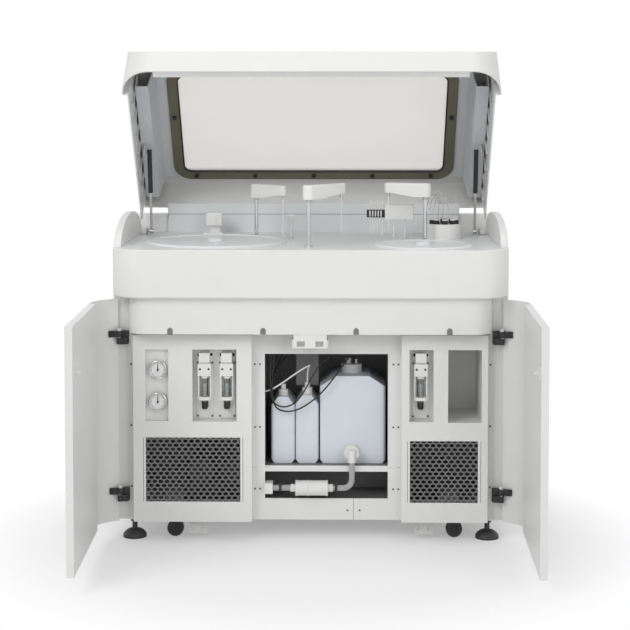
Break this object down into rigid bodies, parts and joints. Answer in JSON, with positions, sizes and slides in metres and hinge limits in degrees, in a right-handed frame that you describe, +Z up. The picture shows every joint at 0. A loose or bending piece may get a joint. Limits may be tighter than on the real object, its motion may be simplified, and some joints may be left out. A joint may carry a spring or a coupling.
{
  "type": "biochemistry analyzer",
  "caption": "Floor-standing chemistry analyzer: cabinet with two doors, container bay, syringe pumps and gauges, worktop with dispensing arms, lid on gas struts.",
  "frame": {"origin": "on the floor, under the middle of the bounding box of the opened analyzer", "axes": "+X is the right of someone who faces the front, +Y goes back into the analyzer, +Z is up"},
  "size_m": [1.3132, 1.2561, 1.4927],
  "materials": {
    "housing": "satin moulded shell",
    "panel": "satin powder coat",
    "frame": "satin powder coat",
    "deck": "satin",
    "door": "satin",
    "lining": "matte",
    "pane": "clear, lightly tinted",
    "trim": "matte olive",
    "steel": "brushed",
    "dark": "matte black",
    "white_plastic": "matte white",
    "container": "translucent, milky",
    "hose": "clear, soft",
    "barrel": "clear",
    "tyre": "hard grey tread"
  },
  "bodies": {
    "cabinet": {"apron": "panel", "base_frame": "frame", "bay_liner": "frame", "bay_tubes": "dark", "code_reader": "dark", "deck": "deck", "disc_covers": "housing", "door_hinge_blocks": "dark", "drain_fittings": "white_plastic", "drain_hoses": "hose", "gauges": "white_plastic", "grilles": "steel", "large_tank": "container", "left_inner_panel": "panel", "leveling_feet": "steel", "lid_mounts": "steel", "middle_frame": "panel", "power_inlet": "dark", "pump_unit": "dark", "rear_panel": "panel", "right_inner_panel": "panel", "shaft_guides": "steel", "side_panels": "panel", "small_tanks": "container", "syringe_barrels": "barrel", "syringe_blocks": "white_plastic", "tank_caps": "white_plastic", "tube_cup": "white_plastic", "upper_housing": "housing"},
    "lid": {"lid_shell": "housing", "lid_lining": "lining", "lid_window": "pane", "window_trim": "trim"},
    "left_strut_lower": {"left_strut_rod": "steel"},
    "left_strut_upper": {"left_strut_cylinder": "dark"},
    "right_strut_lower": {"right_strut_rod": "steel"},
    "right_strut_upper": {"right_strut_cylinder": "dark"},
    "left_door": {"left_door": "door"},
    "right_door": {"right_door": "door"},
    "reagent_arm_shaft": {"reagent_arm_shaft": "steel"},
    "reagent_arm": {"reagent_arm": "housing"},
    "sample_arm_shaft": {"sample_arm_shaft": "steel"},
    "sample_arm": {"sample_arm": "housing"},
    "second_reagent_arm_shaft": {"second_reagent_arm_shaft": "steel"},
    "second_reagent_arm": {"second_reagent_arm": "housing"},
    "mixer": {"mixer": "steel"},
    "wash_head": {"wash_head": "housing"},
    "reagent_disc": {"reagent_disc": "white_plastic"},
    "reaction_disc": {"reaction_disc": "white_plastic"},
    "upper_needle": {"gauge_needle_upper": "dark"},
    "lower_needle": {"gauge_needle_lower": "dark"},
    "plunger_1": {"syringe_plunger_1": "steel"},
    "plunger_2": {"syringe_plunger_2": "steel"},
    "plunger_3": {"syringe_plunger_3": "steel"},
    "front_left_fork": {"front_left_fork": "steel"},
    "front_left_wheel": {"front_left_wheel": "tyre"},
    "rear_left_wheel": {"rear_left_wheel": "tyre"},
    "front_right_fork": {"front_right_fork": "steel"},
    "front_right_wheel": {"front_right_wheel": "tyre"},
    "rear_right_wheel": {"rear_right_wheel": "tyre"}
  },
  "joints": [
    {"name": "lid_hinge", "type": "hinge", "parent": "cabinet", "child": "lid", "pos_m": [0, 0.51825, 0.985], "axis": [1, 0, 0], "range_deg": [0, 51]},
    {"name": "left_strut_swing", "type": "hinge", "parent": "cabinet", "child": "left_strut_lower", "pos_m": [-0.532, 0.40325, 0.908], "axis": [1, 0, 0], "range_deg": [0, 54.3]},
    {"name": "left_strut_slide", "type": "slide", "parent": "left_strut_lower", "child": "left_strut_upper", "axis": [0, 0.2053, -0.9787], "range_m": [0, 0.11916]},
    {"name": "right_strut_swing", "type": "hinge", "parent": "cabinet", "child": "right_strut_lower", "pos_m": [0.532, 0.40325, 0.908], "axis": [1, 0, 0], "range_deg": [0, 54.3]},
    {"name": "right_strut_slide", "type": "slide", "parent": "right_strut_lower", "child": "right_strut_upper", "axis": [0, 0.2053, -0.9787], "range_m": [0, 0.11916]},
    {"name": "left_door_hinge", "type": "hinge", "parent": "cabinet", "child": "left_door", "pos_m": [-0.58, -0.04875, 0.397], "axis": [0, 0, 1], "range_deg": [0, 89]},
    {"name": "right_door_hinge", "type": "hinge", "parent": "cabinet", "child": "right_door", "pos_m": [0.58, -0.04875, 0.397], "axis": [0, 0, -1], "range_deg": [0, 89]},
    {"name": "reagent_arm_lift", "type": "slide", "parent": "cabinet", "child": "reagent_arm_shaft", "axis": [0, 0, -1], "range_m": [-0.04, 0]},
    {"name": "reagent_arm_swing", "type": "hinge", "parent": "reagent_arm_shaft", "child": "reagent_arm", "pos_m": [-0.184, 0.36325, 1], "axis": [0, 0, 1], "range_deg": [-105, 15]},
    {"name": "sample_arm_lift", "type": "slide", "parent": "cabinet", "child": "sample_arm_shaft", "axis": [0, 0, -1], "range_m": [-0.04, 0]},
    {"name": "sample_arm_swing", "type": "hinge", "parent": "sample_arm_shaft", "child": "sample_arm", "pos_m": [-0.006, -0.01475, 1], "axis": [0, 0, 1], "range_deg": [-60, 110]},
    {"name": "second_reagent_arm_lift", "type": "slide", "parent": "cabinet", "child": "second_reagent_arm_shaft", "axis": [0, 0, -1], "range_m": [-0.04, 0]},
    {"name": "second_reagent_arm_swing", "type": "hinge", "parent": "second_reagent_arm_shaft", "child": "second_reagent_arm", "pos_m": [0.359, 0.20825, 1], "axis": [0, 0, 1], "range_deg": [0, 100]},
    {"name": "mixer_lift", "type": "slide", "parent": "cabinet", "child": "mixer", "axis": [0, 0, -1], "range_m": [-0.03, 0]},
    {"name": "wash_lift", "type": "slide", "parent": "cabinet", "child": "wash_head", "axis": [0, 0, -1], "range_m": [-0.03, 0]},
    {"name": "plunger_1_slide", "type": "slide", "parent": "cabinet", "child": "plunger_1", "axis": [0, 0, -1], "range_m": [0, 0.03]},
    {"name": "plunger_2_slide", "type": "slide", "parent": "cabinet", "child": "plunger_2", "axis": [0, 0, -1], "range_m": [0, 0.03]},
    {"name": "plunger_3_slide", "type": "slide", "parent": "cabinet", "child": "plunger_3", "axis": [0, 0, -1], "range_m": [0, 0.03]},
    {"name": "upper_needle_turn", "type": "hinge", "parent": "cabinet", "child": "upper_needle", "pos_m": [-0.463, -0.05175, 0.525], "axis": [0, 1, 0], "range_deg": [-135, 135], "stiffness_Nm_per_rad": 0.002},
    {"name": "lower_needle_turn", "type": "hinge", "parent": "cabinet", "child": "lower_needle", "pos_m": [-0.463, -0.05175, 0.427], "axis": [0, 1, 0], "range_deg": [-135, 135], "stiffness_Nm_per_rad": 0.002},
    {"name": "reagent_disc_spin", "type": "hinge", "parent": "cabinet", "child": "reagent_disc", "pos_m": [-0.3, 0.14525, 0.82], "axis": [0, 0, 1], "continuous": true},
    {"name": "reaction_disc_spin", "type": "hinge", "parent": "cabinet", "child": "reaction_disc", "pos_m": [0.345, 0.03525, 0.82], "axis": [0, 0, 1], "continuous": true},
    {"name": "front_left_swivel", "type": "hinge", "parent": "cabinet", "child": "front_left_fork", "pos_m": [-0.428, 0.00025, 0.058], "axis": [0, 0, 1], "continuous": true},
    {"name": "front_left_roll", "type": "hinge", "parent": "front_left_fork", "child": "front_left_wheel", "pos_m": [-0.416, 0.00025, 0.027], "axis": [0, 1, 0], "continuous": true},
    {"name": "rear_left_roll", "type": "hinge", "parent": "cabinet", "child": "rear_left_wheel", "pos_m": [-0.428, 0.51325, 0.027], "axis": [1, 0, 0], "continuous": true},
    {"name": "front_right_swivel", "type": "hinge", "parent": "cabinet", "child": "front_right_fork", "pos_m": [0.428, 0.00025, 0.058], "axis": [0, 0, 1], "continuous": true},
    {"name": "front_right_roll", "type": "hinge", "parent": "front_right_fork", "child": "front_right_wheel", "pos_m": [0.44, 0.00025, 0.027], "axis": [0, 1, 0], "continuous": true},
    {"name": "rear_right_roll", "type": "hinge", "parent": "cabinet", "child": "rear_right_wheel", "pos_m": [0.428, 0.51325, 0.027], "axis": [1, 0, 0], "continuous": true}
  ],
  "couplings": [
    {"joint": "left_strut_swing", "follows": "lid_hinge", "ratio": 1.055},
    {"joint": "left_strut_slide", "follows": "lid_hinge", "m_per_rad": 0.13342},
    {"joint": "right_strut_swing", "follows": "lid_hinge", "ratio": 1.055},
    {"joint": "right_strut_slide", "follows": "lid_hinge", "m_per_rad": 0.13342}
  ]
}
